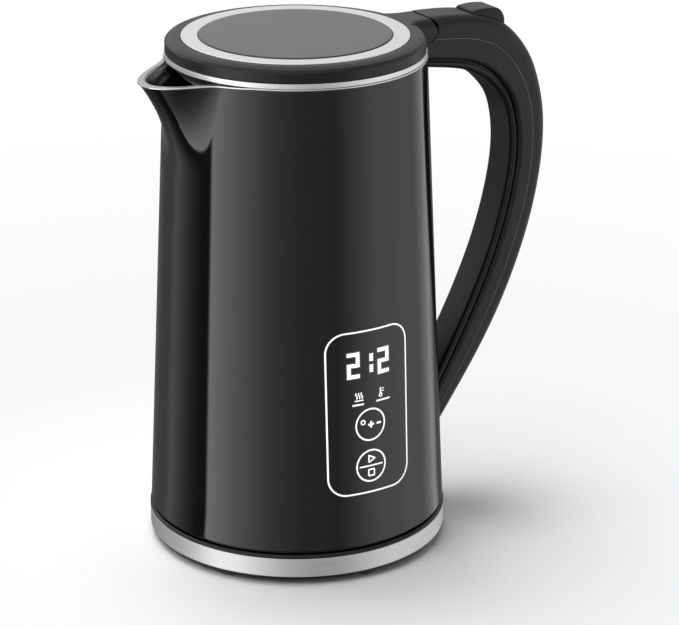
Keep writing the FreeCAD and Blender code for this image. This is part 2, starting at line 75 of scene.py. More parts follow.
def feed(tree, node, inputs):
    """Set a node's inputs: a socket is linked, and any other value becomes the input's own value."""
    for name, value in inputs.items():
        if isinstance(value, bpy.types.NodeSocket):
            tree.links.new(value, node.inputs[name])
        else:
            node.inputs[name].default_value = value


def add(tree, kind, inputs=None, **settings):
    """Add a node: settings are its properties, inputs its socket values or the sockets that feed them."""
    made = tree.nodes.new(kind)
    for name, value in settings.items():
        setattr(made, name, value)
    feed(tree, made, inputs or {})
    return made


room = bpy.data.worlds.new("studio_room")
room.use_nodes = True
bpy.context.scene.world = room
tree = room.node_tree
tree.nodes.clear()
to_camera = Vector((-0.514, -0.858, 0.0))
to_left = Vector((-0.858, 0.514, 0.0))
ray = add(tree, "ShaderNodeTexCoord").outputs["Generated"]
ahead, aside = [
    add(tree, "ShaderNodeVectorMath", {0: ray, 1: axis}, operation="DOT_PRODUCT").outputs["Value"]
    for axis in (to_camera, to_left)
]
upward = add(tree, "ShaderNodeSeparateXYZ", {"Vector": ray}).outputs["Z"]
bearing = add(tree, "ShaderNodeMath", {0: aside, 1: ahead}, operation="ARCTAN2").outputs["Value"]
# Walls by bearing in degrees, positive to the camera's left, and brightness as a share of the softbox's edge
softbox_strength = 3.0
room_stops = (
    (-180, 0.05), (-152, 0.05), (-140, 0.36), (-118, 0.22), (-98, 0.35), (-68, 0.40), (-34, 0.11), (-4, 0.13),
    (18, 0.23), (44, 0.53), (73, 1.0), (75, 0.02), (83, 0.02), (92, 0.06), (103, 0.13), (117, 0.2),
    (128, 0.09), (142, 0.06), (180, 0.05),
)
full_turn = {"Value": bearing, "From Min": -math.pi, "From Max": math.pi}
around = add(tree, "ShaderNodeMapRange", full_turn).outputs["Result"]
ramp = add(tree, "ShaderNodeValToRGB", {"Fac": around})
ramp.color_ramp.elements.remove(ramp.color_ramp.elements[1])
for number, (degrees, share) in enumerate(room_stops):
    place = (degrees + 180) / 360
    stop = ramp.color_ramp.elements.new(place) if number else ramp.color_ramp.elements[0]
    stop.position = place
    stop.color = (share, share, share, 1.0)
# By the upward part of a ray, the walls darken low down and give way to the ceiling over the horizon
dark_below = -0.8
full_above = -0.45
low_share = 0.2
ceiling_turn = 0.5
ceiling_right = 0.6
ceiling_left = 1.2
horizon_blur = 0.25
ambient_strength = 0.3
brighter_up = {
    "Value": upward, "From Min": dark_below, "From Max": full_above,
    "To Min": low_share * softbox_strength, "To Max": softbox_strength,
}
brighter_left = {
    "Value": aside, "From Min": -ceiling_turn, "From Max": ceiling_turn,
    "To Min": ceiling_right, "To Max": ceiling_left,
}
over_horizon = {"Value": upward, "From Max": horizon_blur}
wall_strength = add(tree, "ShaderNodeMapRange", brighter_up).outputs["Result"]
ceiling_strength = add(tree, "ShaderNodeMapRange", brighter_left).outputs["Result"]
soft_step = add(tree, "ShaderNodeMapRange", over_horizon, interpolation_type="SMOOTHSTEP").outputs["Result"]
wall_light = {"Color": ramp.outputs["Color"], "Strength": wall_strength}
walls = add(tree, "ShaderNodeBackground", wall_light).outputs[0]
ceiling, ambient, white = [
    add(tree, "ShaderNodeBackground", {"Color": linear("#ffffff"), "Strength": strength}).outputs[0]
    for strength in (ceiling_strength, ambient_strength, 1.0)
]
mirrored = add(tree, "ShaderNodeMixShader", {0: soft_step, 1: walls, 2: ceiling}).outputs[0]
# Polished surfaces see the room, the camera and clear pieces see white, and all else gets the ambient light
ray_kind = add(tree, "ShaderNodeLightPath").outputs
lit = add(tree, "ShaderNodeMixShader", {0: ray_kind["Is Glossy Ray"], 1: ambient, 2: mirrored}).outputs[0]
direct = {0: ray_kind["Is Camera Ray"], 1: ray_kind["Is Transmission Ray"]}
seen = add(tree, "ShaderNodeMath", direct, operation="MAXIMUM").outputs["Value"]
surroundings = add(tree, "ShaderNodeMixShader", {0: seen, 1: lit, 2: white}).outputs[0]
add(tree, "ShaderNodeOutputWorld", {"Surface": surroundings})

# Softboxes as (name, place in metres, width in metres, power in watts), each turned to the kettle
kettle_middle = Vector((0, 0, 0.12))
for name, place, width, power in (
    ("key_softbox", (-1.15, -0.3, 1.4), 0.8, 9.0),
    ("top_softbox", (-0.1, 0.5, 1.7), 1.2, 25.0),
):
    lamp = bpy.data.lights.new(name, "AREA")
    lamp.size = width
    lamp.energy = power
    softbox = bpy.data.objects.new(name, lamp)
    softbox.location = place
    softbox.rotation_euler = (kettle_middle - Vector(place)).to_track_quat("-Z", "Y").to_euler()
    softbox.visible_glossy = False
    bpy.context.scene.collection.objects.link(softbox)

# White paper: it takes the kettle's shadow near the base and fades into an even white further out, in metres
shadow_end = 0.07
white_start = 0.26
near_white = 0.92
near_white_end = 0.2
full_white_start = 0.7
floor_half = 6.0
floor_material = bpy.data.materials.new("white_paper_sweep")
floor_material.use_nodes = True
tree = floor_material.node_tree
tree.nodes.clear()
spot = add(tree, "ShaderNodeTexCoord").outputs["Object"]
away = add(tree, "ShaderNodeVectorMath", {0: spot}, operation="LENGTH").outputs["Value"]
paper = add(tree, "ShaderNodeBsdfDiffuse", {"Color": linear("#f2f2f2")}).outputs[0]
whiter = {"Value": away, "From Min": near_white_end, "From Max": full_white_start, "To Min": near_white}
far_white = add(tree, "ShaderNodeMapRange", whiter).outputs["Result"]
haze = add(tree, "ShaderNodeEmission", {"Color": linear("#ffffff"), "Strength": far_white}).outputs[0]
fade = {"Value": away, "From Min": shadow_end, "From Max": white_start}
soft_step = add(tree, "ShaderNodeMapRange", fade, interpolation_type="SMOOTHSTEP").outputs["Result"]
surface = add(tree, "ShaderNodeMixShader", {0: soft_step, 1: paper, 2: haze}).outputs[0]
add(tree, "ShaderNodeOutputMaterial", {"Surface": surface})
floor_corners = [(floor_half * x, floor_half * y, 0) for x, y in ((-1, -1), (1, -1), (1, 1), (-1, 1))]
floor_mesh = bpy.data.meshes.new("floor")
floor_mesh.from_pydata(floor_corners, [], [(0, 1, 2, 3)])
floor_mesh.materials.append(floor_material)
floor = bpy.data.objects.new("floor", floor_mesh)
floor.visible_glossy = False
bpy.context.scene.collection.objects.link(floor)

# Base deck and wall: one moulding of black ABS that hides the wiring, screwed to the tray from below.
# Its bevelled upper edge shows as a black rim over the steel band, and the tray as a thin line under it.
smooth_angle = math.radians(40)
turn = np.linspace(0, 2 * np.pi, 256, endpoint=False)
run_shares = np.array((0.04, 0.5, 0.96))


def rounded(corners, rounds, steps=6, open_end=False):
    """Closed outline whose corners are arcs: each arc's centre stands on the corner's bisector at round over
    the sine of half the corner, and three points hold every straight run between two arcs. An open end drops
    the last run."""
    corners = np.array(corners, float)
    rounds = np.broadcast_to(np.array(rounds, float), len(corners))[:, None]
    back = np.roll(corners, 1, axis=0) - corners
    forth = np.roll(corners, -1, axis=0) - corners
    back /= np.linalg.norm(back, axis=1, keepdims=True)
    forth /= np.linalg.norm(forth, axis=1, keepdims=True)
    half = np.arccos(np.clip((back * forth).sum(1, keepdims=True), -1, 1)) / 2
    bisector = (back + forth) / np.linalg.norm(back + forth, axis=1, keepdims=True)
    centre = corners + bisector * rounds / np.sin(half)
    start = corners + back * rounds / np.tan(half)
    end = corners + forth * rounds / np.tan(half)
    sweep = (np.pi - 2 * half)[:, None]
    share = np.linspace(0, 1, steps + 1)[None, :, None]
    from_start = np.sin((1 - share) * sweep) * (start - centre)[:, None]
    from_end = np.sin(share * sweep) * (end - centre)[:, None]
    arcs = centre[:, None] + (from_start + from_end) / np.sin(sweep)
    runs = end[:, None] + run_shares[None, :, None] * (np.roll(start, -1, axis=0) - end)[:, None]
    outline = np.concatenate((arcs, runs), axis=1).reshape(-1, 2)
    return outline[:-len(run_shares)] if open_end else np.concatenate((outline, outline[:1]))


def turned(profile):
    """Surface of revolution: every profile point (radius, height) goes round the kettle's axis."""
    radius = profile[:, :1]
    height = np.broadcast_to(profile[:, 1:], (len(profile), len(turn)))
    return np.stack((radius * np.cos(turn), radius * np.sin(turn), height), axis=-1)


def closed_ends(grid):
    """Grid whose first and last rows each close on their middle point."""
    ends = grid[[0, -1]].mean(axis=1, keepdims=True) + 0 * grid[[0, -1]]
    return np.concatenate((ends[:1], grid, ends[1:]))


def skin(name, grids, material):
    """Mesh through grids of points in millimetres, grid[row, column] = (x, y, z), whose columns close into
    rings. Four neighbours make a face, points that coincide are merged, and faces are turned outwards."""
    places = []
    faces = []
    first = 0
    for grid in grids:
        rows, columns = grid.shape[:2]
        index = first + np.arange(rows * columns).reshape(rows, columns)
        ring = np.hstack((index, index[:, :1]))
        square = np.stack((ring[:-1, :-1], ring[:-1, 1:], ring[1:, 1:], ring[1:, :-1]), axis=-1)
        faces.append(square.reshape(-1, 4))
        places.append(grid.reshape(-1, 3))
        first += rows * columns
    mesh = bpy.data.meshes.new(name)
    mesh.from_pydata((np.concatenate(places) * millimetre).tolist(), [], np.concatenate(faces).tolist())
    shape = bmesh.new()
    shape.from_mesh(mesh)
    bmesh.ops.remove_doubles(shape, verts=shape.verts, dist=1e-7)
    bmesh.ops.recalc_face_normals(shape, faces=shape.faces)
    shape.to_mesh(mesh)
    shape.free()
    mesh.shade_smooth()
    mesh.set_sharp_from_angle(angle=smooth_angle)
    mesh.materials.append(material)
    piece = bpy.data.objects.new(name, mesh)
    bpy.context.scene.collection.objects.link(piece)
    return piece


def new_material(name):
    """Empty material with its shader: returns the material, its node tree and the shader node."""
    material = bpy.data.materials.new(name)
    material.use_nodes = True
    material.node_tree.nodes.clear()
    shader = add(material.node_tree, "ShaderNodeBsdfPrincipled")
    add(material.node_tree, "ShaderNodeOutputMaterial", {"Surface": shader.outputs[0]})
    return material, material.node_tree, shader


def per_mm(size):
    """Texture scale, in cells per metre, that gives cells of a size in millimetres."""
    return 1 / (size * millimetre)


def mottled(name, dark, light, cell, detail, finish):
    """Material whose colour wanders between two, by noise with cells of a size in millimetres. Finish gives
    the shader's other inputs."""
    material, tree, shader = new_material(name)
    spot = add(tree, "ShaderNodeTexCoord").outputs["Object"]
    cells = {"Vector": spot, "Scale": per_mm(cell), "Detail": detail}
    mottle = add(tree, "ShaderNodeTexNoise", cells).outputs["Fac"]
    tones = {"Factor": mottle, "A": linear(dark), "B": linear(light)}
    shade = add(tree, "ShaderNodeMix", tones, data_type="RGBA").outputs["Result"]
    feed(tree, shader, {"Base Color": shade, **finish})
    return material


# ABS moulded in a spark-eroded steel tool: a fine matt grain scatters the light and leaves no mirror image
satin_black, tree, shader = new_material("satin_black_abs")
spot = add(tree, "ShaderNodeTexCoord").outputs["Object"]
grain, cloud = [
    add(tree, "ShaderNodeTexNoise", {"Vector": spot, "Scale": per_mm(cell), "Detail": detail}).outputs["Fac"]
    for cell, detail in ((0.5, 3.0), (25, 2.0))
]
tones = {"Factor": cloud, "A": linear("#0a0b0b"), "B": linear("#0e0f0f")}
gloss = {"Value": grain, "To Min": 0.36, "To Max": 0.44}
relief = {"Height": grain, "Strength": 0.08, "Distance": 0.1 * millimetre}
feed(tree, shader, {
    "Base Color": add(tree, "ShaderNodeMix", tones, data_type="RGBA").outputs["Result"],
    "Roughness": add(tree, "ShaderNodeMapRange", gloss).outputs["Result"],
    "Normal": add(tree, "ShaderNodeBump", relief).outputs["Normal"], "IOR": 1.42,
})

base_radius = 71.3
band_radius = 70.5
wall_radius = 70.4
wall_inner = 68.2
tray_top = 4.2
band_low = 4.3
band_high = 13.5
band_edge = 0.22
rim_low = 13.6
rim_high = 14.2
rim_bevel = 1.0
deck_under = 13.2
deck_top = 15.2
tower_gap_radius = 17.2
deck = rounded(
    (
        (tower_gap_radius, deck_under), (wall_inner, deck_under), (wall_inner, tray_top),
        (wall_radius, tray_top), (wall_radius, rim_low), (base_radius, rim_low), (base_radius, rim_high),
        (base_radius - rim_bevel, deck_top), (tower_gap_radius, deck_top),
    ),
    (0.2, 0.2, 0.2, 0.2, 0.05, 0.1, 0.3, 0.4, 0.3),
)
cover = skin("base_cover_moulding", [turned(deck)], satin_black)
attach(cover, "base")
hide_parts("base_cover")


# Base band: a strip of 0.8 mm stainless steel rolled into a hoop, brushed along its length and pressed on the
# wall. Brushing draws fine scratches round the hoop, which smear each highlight up and down.
def brushed(name, dark, light, smooth, matt):
    """Steel brushed round the kettle's axis: noise stretched along the turn sets its colour and finish."""
    # Real scratches are hundredths of a millimetre wide, and are drawn wider so that they show
    scratch_length = 25
    scratch_radius = 70
    scratch_width = 0.35
    material, tree, shader = new_material(name)
    spot = add(tree, "ShaderNodeTexCoord").outputs["Object"]
    axes = add(tree, "ShaderNodeSeparateXYZ", {"Vector": spot}).outputs
    flat = add(tree, "ShaderNodeCombineXYZ", {"X": axes["X"], "Y": axes["Y"]}).outputs["Vector"]
    radius = add(tree, "ShaderNodeVectorMath", {0: flat}, operation="LENGTH").outputs["Value"]
    heading = add(tree, "ShaderNodeVectorMath", {0: flat}, operation="NORMALIZE").outputs["Vector"]
    lengths = {0: heading, "Scale": scratch_radius / scratch_length}
    along = add(tree, "ShaderNodeVectorMath", lengths, operation="SCALE").outputs["Vector"]
    width = add(tree, "ShaderNodeMath", {0: radius, 1: axes["Z"]}, operation="ADD").outputs["Value"]
    widths = {0: width, 1: per_mm(scratch_width)}
    step = add(tree, "ShaderNodeMath", widths, operation="MULTIPLY").outputs["Value"]
    across = add(tree, "ShaderNodeCombineXYZ", {"Z": step}).outputs["Vector"]
    place = add(tree, "ShaderNodeVectorMath", {0: along, 1: across}, operation="ADD").outputs["Vector"]
    scratch = add(tree, "ShaderNodeTexNoise", {"Vector": place, "Scale": 1.0, "Detail": 4.0}).outputs["Fac"]
    tones = {"Factor": scratch, "A": linear(dark), "B": linear(light)}
    gloss = {"Value": scratch, "To Min": smooth, "To Max": matt}
    relief = {"Height": scratch, "Strength": 0.12, "Distance": 0.05 * millimetre}
    feed(tree, shader, {
        "Base Color": add(tree, "ShaderNodeMix", tones, data_type="RGBA").outputs["Result"], "Metallic": 1.0,
        "Roughness": add(tree, "ShaderNodeMapRange", gloss).outputs["Result"],
        "Normal": add(tree, "ShaderNodeBump", relief).outputs["Normal"],
    })
    return material


band_steel = brushed("brushed_stainless_steel", "#ced0d1", "#e2e3e4", 0.42, 0.58)
hoop = rounded(
    ((band_radius, band_low), (base_radius, band_low), (base_radius, band_high), (band_radius, band_high)),
    band_edge,
)
band = skin("base_band_hoop", [turned(hoop)], band_steel)
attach(band, "base")
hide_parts("base_band")

# Kettle wall, shared by the shell and the liner: a cone that swells into the pouring spout towards -X.
# The rim is level round the mouth and dips towards the spout's tip.
body_foot = 16.6
body_foot_radius = 70.7
body_top = 236.0
body_top_radius = 60.9
spout_root = 190.0
spout_reach = 18.8
spout_half_angle = math.radians(28)
root_share = 0.65
lip_under = 235.4
dip_bend = -45.0
dip_slope = 0.1
dip_start = 215.0
mouth_turn = np.concatenate((
    np.linspace(np.pi - spout_half_angle, np.pi + spout_half_angle, 120, endpoint=False),
    np.linspace(np.pi + spout_half_angle, 3 * np.pi - spout_half_angle, 200, endpoint=False),
))


def body_radius(height):
    """Straight line from the foot's radius to the top's radius."""
    share = (height - body_foot) / (body_top - body_foot)
    return body_foot_radius + (body_top_radius - body_foot_radius) * share


def reach_at(height):
    """Stand-out of the spout's ridge: full reach times the share of height over the root to the power 1.5."""
    return spout_reach * np.clip((height - spout_root) / (body_top - spout_root), 0, None) ** 1.5


def wall_rows(radius, reach, height):
    """Rows of a wall as (radius, spout reach, height); a single value holds for every row."""
    return np.stack(np.broadcast_arrays(radius, reach, height), axis=-1)


def mouth(radius, reach, height):
    """Rings of a wall with the spout: radius plus reach times the squared cosine of the angle off the spout's
    line, stretched so that it is zero at the spout's half angle, which narrows from the lip down to the root.
    Near the rim each point sinks by the lip's slope."""
    climbed = np.clip((height - spout_root) / (lip_under - spout_root), 0, 1)[:, None]
    half_angle = spout_half_angle * (root_share + (1 - root_share) * climbed)
    off = np.clip((mouth_turn - np.pi) / half_angle, -1, 1)
    swell = np.cos(off * np.pi / 2) ** 2
    far = radius[:, None] + reach[:, None] * swell
    x = far * np.cos(mouth_turn)
    near_rim = np.clip((height[:, None] - dip_start) / (lip_under - dip_start), 0, 1)
    sink = dip_slope * np.minimum(x - dip_bend, 0) * near_rim
    return np.stack((x, far * np.sin(mouth_turn), height[:, None] + sink), axis=-1)


# Liner: a pot of polished 304 stainless steel, drawn and then flared into the spout, with a flat turned-out
# rim that lies on the shell. Polishing leaves faint level lines round the pot.
liner_steel, tree, shader = new_material("polished_stainless_steel")
coordinates = add(tree, "ShaderNodeTexCoord").outputs
spot = coordinates["Object"]
line_cells = (per_mm(25), per_mm(25), per_mm(0.6))
stretched = add(tree, "ShaderNodeMapping", {"Vector": spot, "Scale": line_cells}).outputs["Vector"]
lines = add(tree, "ShaderNodeTexNoise", {"Vector": stretched, "Scale": 1.0, "Detail": 3.0}).outputs["Fac"]
tones = {"Factor": lines, "A": linear("#cfd0d1"), "B": linear("#dedfdf")}
polished = add(tree, "ShaderNodeMix", tones, data_type="RGBA").outputs["Result"]
# The rim, which is what faces up near the top, is painted a darker grey: painted shade that dims its
# reflection
rim_start = 222 * millimetre
rim_full = 226 * millimetre
tilt_start = 0.4
tilt_full = 0.7
facing = add(tree, "ShaderNodeSeparateXYZ", {"Vector": coordinates["Normal"]}).outputs["Z"]
height = add(tree, "ShaderNodeSeparateXYZ", {"Vector": spot}).outputs["Z"]
faces_up, near_top = [
    add(tree, "ShaderNodeMapRange", {"Value": value, "From Min": low, "From Max": high}).outputs["Result"]
    for value, low, high in ((facing, tilt_start, tilt_full), (height, rim_start, rim_full))
]
rim_shade_share = add(tree, "ShaderNodeMath", {0: faces_up, 1: near_top}, operation="MULTIPLY").outputs["Value"]
shaded_rim = {"Factor": rim_shade_share, "A": polished, "B": linear("#b0b1b2")}
gloss = {"Value": lines, "To Min": 0.2, "To Max": 0.34}
feed(tree, shader, {
    "Base Color": add(tree, "ShaderNodeMix", shaded_rim, data_type="RGBA").outputs["Result"], "Metallic": 1.0,
    "Roughness": add(tree, "ShaderNodeMapRange", gloss).outputs["Result"],
})

liner_radius = 56.0
liner_wall = 0.8
pot_under = 42.0
pot_corner = 0.2
pot_floor = 43.0
floor_bend = 6.0
flare_start = 215.0
flare_width = 2.2
lip_height = 0.8
lip_edge = 0.25
lip_overhang = 0.25
# Bend from the inner wall into the rim, as (outwards, along the spout, up) from the top of the wall
lip_bend = ((0.1, 0.1, 0.5), (0.5, 0.2, 0.75))
lip_bend_width = 1.2
lip_seat = 2.0


def liner_radius_at(height):
    """Straight below, then flared by a square curve up to the rim."""
    share = np.clip((height - flare_start) / (lip_under - flare_start), 0, None)
    return liner_radius + flare_width * share ** 2


bend = np.linspace(0, np.pi / 2, 8)
plain_top = spout_root - 4
wall_heights = np.concatenate((
    np.linspace(pot_floor + floor_bend + 2, plain_top, 12), np.linspace(spout_root, lip_under - 0.5, 40),
))
inner_radius = liner_radius - liner_wall
lip_inner = liner_radius_at(lip_under) - liner_wall
lip_outer = body_top_radius + lip_overhang
lip_reach = reach_at(lip_under)
lip_round = np.linspace(0, np.pi, 9)
liner_rows = np.concatenate((
    wall_rows(np.linspace(0, inner_radius - floor_bend - 1, 6), 0, pot_floor),
    wall_rows(
        inner_radius - floor_bend + floor_bend * np.sin(bend), 0,
        pot_floor + floor_bend - floor_bend * np.cos(bend),
    ),
    wall_rows(liner_radius_at(wall_heights) - liner_wall, reach_at(wall_heights), wall_heights),
    np.array(lip_bend) + (lip_inner, lip_reach, lip_under),
    wall_rows((lip_inner + lip_bend_width, lip_outer - lip_edge - 0.1), spout_reach, lip_under + lip_height),
    wall_rows(
        lip_outer - lip_edge + lip_edge * np.sin(lip_round), spout_reach,
        lip_under + lip_height / 2 + lip_height / 2 * np.cos(lip_round),
    ),
    wall_rows((lip_outer - lip_seat, lip_inner + liner_wall + 0.1), (spout_reach, lip_reach), lip_under),
    wall_rows(liner_radius_at(wall_heights), reach_at(wall_heights), wall_heights)[::-1],
    wall_rows(
        (liner_radius, liner_radius, liner_radius - pot_corner, 0), 0,
        (pot_floor + 2, pot_under + pot_corner, pot_under, pot_under),
    ),
))
pot = skin("liner_pot", [mouth(*liner_rows.T)], liner_steel)
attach(pot, "kettle")
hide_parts("liner")

# Outer shell: ABS moulded in a mirror-polished tool, so it is black with sharp, dark reflections.
# It drops over the liner, whose rim holds its upper edge; its foot is rolled in a little over the base.
gloss_black, tree, shader = new_material("gloss_black_abs")
spot = add(tree, "ShaderNodeTexCoord").outputs["Object"]
flow, wipe = [
    add(tree, "ShaderNodeTexNoise", {"Vector": spot, "Scale": per_mm(cell), "Detail": detail}).outputs["Fac"]
    for cell, detail in ((30, 1.0), (6, 4.0))
]
tones = {"Factor": flow, "A": linear("#090a0a"), "B": linear("#0d0e0e")}
gloss = {"Value": wipe, "To Min": 0.03, "To Max": 0.06}
feed(tree, shader, {
    "Base Color": add(tree, "ShaderNodeMix", tones, data_type="RGBA").outputs["Result"],
    "Roughness": add(tree, "ShaderNodeMapRange", gloss).outputs["Result"], "IOR": 1.5,
})

shell_wall = 2.2
shell_inner = body_foot_radius - shell_wall
shell_top = lip_under - 0.02
foot_round = 0.7
outer_heights = np.concatenate((
    np.linspace(body_foot + 1, plain_top - 2, 14), np.linspace(plain_top, lip_under - 0.3, 60),
))
foot_bend = np.linspace(0, np.pi / 2, 7)
shell_rows = np.concatenate((
    wall_rows((shell_inner, body_foot_radius - foot_round - 0.1), 0, body_foot),
    wall_rows(
        body_foot_radius - foot_round + foot_round * np.sin(foot_bend), 0,
        body_foot + foot_round - foot_round * np.cos(foot_bend),
    ),
    wall_rows(body_radius(outer_heights), reach_at(outer_heights), outer_heights),
    wall_rows((body_radius(lip_under) - 0.05, body_radius(lip_under) - shell_wall), lip_reach, shell_top),
    wall_rows(body_radius(outer_heights) - shell_wall, reach_at(outer_heights), outer_heights)[::-1],
    wall_rows((shell_inner,), 0, body_foot),
))
shell = skin("outer_shell_moulding", [mouth(*shell_rows.T)], gloss_black)
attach(shell, "kettle")
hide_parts("outer_shell")

# Panel lens: a thin sheet of clear acrylic, painted black behind and stuck in a pocket of the shell, so it
# lies almost flush.
panel_low = 42.6
panel_high = 122.2
panel_half = 21.85
panel_corner = 9.5
lens_stand = 0.06
lens_depth = 0.9


def on_panel(across, height, lift):
    """Point over the cone: across is the distance from the panel's middle plane, lift that from the wall."""
    far = body_radius(height) + lift
    return np.stack((across, -np.sqrt(far ** 2 - across ** 2), height), axis=-1)


def patch(outline, lift, depth, rings=24):
    """Closed plate over the cone: the outline shrinks evenly to its middle on the front and on the back."""
    share = np.linspace(0, 1, rings)[:, None]
    middle = outline.mean(axis=0)
    across = middle[0] + share * (outline[:, 0] - middle[0])
    height = middle[1] + share * (outline[:, 1] - middle[1])
    front = on_panel(across, height, lift)
    rear = on_panel(across, height, lift - depth)
    return np.concatenate((front, rear[::-1]))


def evenly(line, count, endpoint=True):
    """Points at even distances along a line of straight runs."""
    along = np.concatenate(((0,), np.cumsum(np.linalg.norm(np.diff(line, axis=0), axis=1))))
    even = np.linspace(0, along[-1], count, endpoint=endpoint)
    return np.stack((np.interp(even, along, line[:, 0]), np.interp(even, along, line[:, 1])), axis=1)


def rounded_frame(half_across, low, high, corner, count=160):
    """Rounded rectangle on the panel, divided evenly."""
    corners = ((-half_across, low), (half_across, low), (half_across, high), (-half_across, high))
    return evenly(rounded(corners, corner, steps=16), count, endpoint=False)


lens_outline = rounded_frame(panel_half, panel_low, panel_high, panel_corner)
lens = skin("control_panel_lens", [patch(lens_outline, lens_stand, lens_depth)], gloss_black)
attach(lens, "kettle")
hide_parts("control_panel")

# Printed marks: white ink on the lens, with a weak painted glow that keeps it bright. A frame, two touch
# circles with a divider in the lower one, and plain pictograms.
mark_depth = 0.03
mark_lift = lens_stand + 0.04


def ribbon(line, half_width, closed=False, lift=mark_lift):
    """Flat stroke over the cone, with a front and a back: the line is moved to both sides along its normal by
    its half width."""
    if closed:
        along = np.roll(line, -1, axis=0) - np.roll(line, 1, axis=0)
    else:
        along = np.gradient(line, axis=0)
    along /= np.linalg.norm(along, axis=1, keepdims=True)
    side = np.stack((-along[:, 1], along[:, 0]), axis=1) * half_width
    left = line + side
    right = line - side
    sides = ((left, lift), (right, lift), (right, lift - mark_depth), (left, lift - mark_depth))
    grid = np.stack([on_panel(edge[:, 0], edge[:, 1], level) for edge, level in sides], axis=1)
    return np.concatenate((grid, grid[:1])) if closed else closed_ends(grid)


def stroke(points, half_width, count=24, lift=mark_lift):
    """Ribbon along straight runs through a few points."""
    return ribbon(evenly(np.array(points, float), count), half_width, lift=lift)


def bar(left, right, height, half_width):
    """Level stroke from left to right."""
    return stroke(((left, height), (right, height)), half_width)


def circle(across, height, radius, half_width, count=72):
    """Ring drawn with a stroke."""
    angle = np.linspace(0, 2 * np.pi, count, endpoint=False)
    line = np.stack((across + radius * np.cos(angle), height + radius * np.sin(angle)), axis=1)
    return ribbon(line, half_width, closed=True)


# The ink's emission is a painted glow, not light from any lamp behind the lens
ink_with_painted_glow = mottled("white_screen_ink_painted_glow", "#e6e6e6", "#f6f6f6", 0.4, 2.0, {
    "Roughness": 0.45, "Emission Color": linear("#ffffff"), "Emission Strength": 0.6,
})
line_half = 0.4
thin = 0.3
middling = 0.36
bold = 0.42
heavy = 0.5
frame_inset = 0.42
touch_radius = 7.6
upper_touch = 76.1
lower_touch = 55.9
heat_across = -5.8
warm_across = 5.7
frame_line = rounded_frame(
    panel_half - frame_inset, panel_low + frame_inset, panel_high - frame_inset, panel_corner - frame_inset
)
marks = [
    ribbon(frame_line, line_half, closed=True),
    circle(0, upper_touch, touch_radius, line_half),
    circle(0, lower_touch, touch_radius, line_half),
    bar(-6.2, 6.2, lower_touch, middling),
]
# For the two indicator lights: three heat waves over a short bar, and a thermometer over a short bar
wave_gap = 1.35
wave_sway = 0.4
wave_low = 89.6
wave_height = 2.9
rise = np.linspace(0, 1, 24)
for shift in (-wave_gap, 0.0, wave_gap):
    sway = heat_across + shift + wave_sway * np.sin(2 * np.pi * rise)
    marks.append(ribbon(np.stack((sway, wave_low + wave_height * rise), axis=1), thin))
marks += [
    bar(heat_across - 2.2, heat_across + 2.2, 88.7, thin),
    bar(heat_across - 3.4, heat_across + 2.4, 86.7, bold),
    circle(warm_across, 89.4, 0.75, thin, 32),
    stroke(((warm_across, 90.1), (warm_across, 93.0)), bold),
    bar(warm_across + 0.9, warm_across + 1.9, 91.2, 0.22),
    bar(warm_across + 0.9, warm_across + 1.9, 92.4, 0.22),
    bar(warm_across - 2.4, warm_across + 5.2, 86.9, bold),
]
# Upper touch zone: a degree sign, plus and minus; lower one: a start triangle over a stop square
triangle = np.array(((-1.3, 1.7), (-1.3, 5.1), (1.9, 3.4), (-1.3, 1.7))) + (0, lower_touch)
square = np.array(((-1.5, -4.9), (1.5, -4.9), (1.5, -1.9), (-1.5, -1.9), (-1.5, -4.9))) + (0, lower_touch)
marks += [
    circle(-4.0, upper_touch + 1.6, 1.0, 0.32, 32),
    bar(-1.4, 1.8, upper_touch, heavy),
    stroke(((0.2, upper_touch - 1.6), (0.2, upper_touch + 1.6)), heavy),
    bar(3.2, 5.6, upper_touch, heavy),
    stroke(triangle, middling, count=48),
    stroke(square, middling, count=48),
]
printed = skin("panel_marks", marks, ink_with_painted_glow)
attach(printed, "kettle")

# Display: three seven-segment digits of white LEDs in a module behind the lens. The lens scatters a little of
# their light, which shows as a soft glow about each lit segment.
lit_segment, tree, shader = new_material("white_led_light")
feed(tree, shader, {
    "Base Color": linear("#ffffff"), "Emission Color": linear("#f6fbff"), "Emission Strength": 1.6,
})
glow_light, tree, shader = new_material("scattered_led_light")
spot = add(tree, "ShaderNodeTexCoord").outputs["Object"]
cells = {"Vector": spot, "Scale": per_mm(1.0), "Detail": 2.0}
patches = add(tree, "ShaderNodeTexNoise", cells).outputs["Fac"]
weak = add(tree, "ShaderNodeMapRange", {"Value": patches, "To Min": 0.08, "To Max": 0.22}).outputs["Result"]
feed(tree, shader, {
    "Base Color": linear("#0b0c0c"), "Roughness": 0.08, "Emission Color": linear("#f6fbff"),
    "Emission Strength": weak,
})

digit_width = 4.45
digit_height = 10.6
digit_low = 100.65
segment_half = 0.8
segment_ends = {
    "top": ((0, 2), (1, 2)), "middle": ((0, 1), (1, 1)), "foot": ((0, 0), (1, 0)),
    "upper_right": ((1, 1), (1, 2)), "lower_left": ((0, 0), (0, 1)), "lower_right": ((1, 0), (1, 1)),
}
shown_segments = {
    "1": ("upper_right", "lower_right"),
    "2": ("top", "upper_right", "middle", "lower_left", "foot"),
}
slit = 0.14
halo_width = 0.55
halo_lift = mark_lift - 0.03
segments = []
halos = []
digit_places = ((-10.63, "2"), (-3.55, "1"), (5.3, "2"))
for left, figure in digit_places:
    for name in shown_segments[figure]:
        ends = np.array(segment_ends[name]) * (digit_width, digit_height / 2) + (left, digit_low)
        along = (ends[1] - ends[0]) / np.linalg.norm(ends[1] - ends[0])
        level = abs(along[0]) > 0.5
        reach = segment_half if level else -segment_half - slit
        ends = ends + reach * np.stack((-along, along))
        segments.append(stroke(ends, segment_half))
        wider = ends + halo_width * np.stack((-along, along))
        halos.append(stroke(wider, segment_half + halo_width, lift=halo_lift))
digits = skin("display_digits", segments, lit_segment)
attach(digits, "kettle")
glow = skin("display_glow", halos, glow_light)
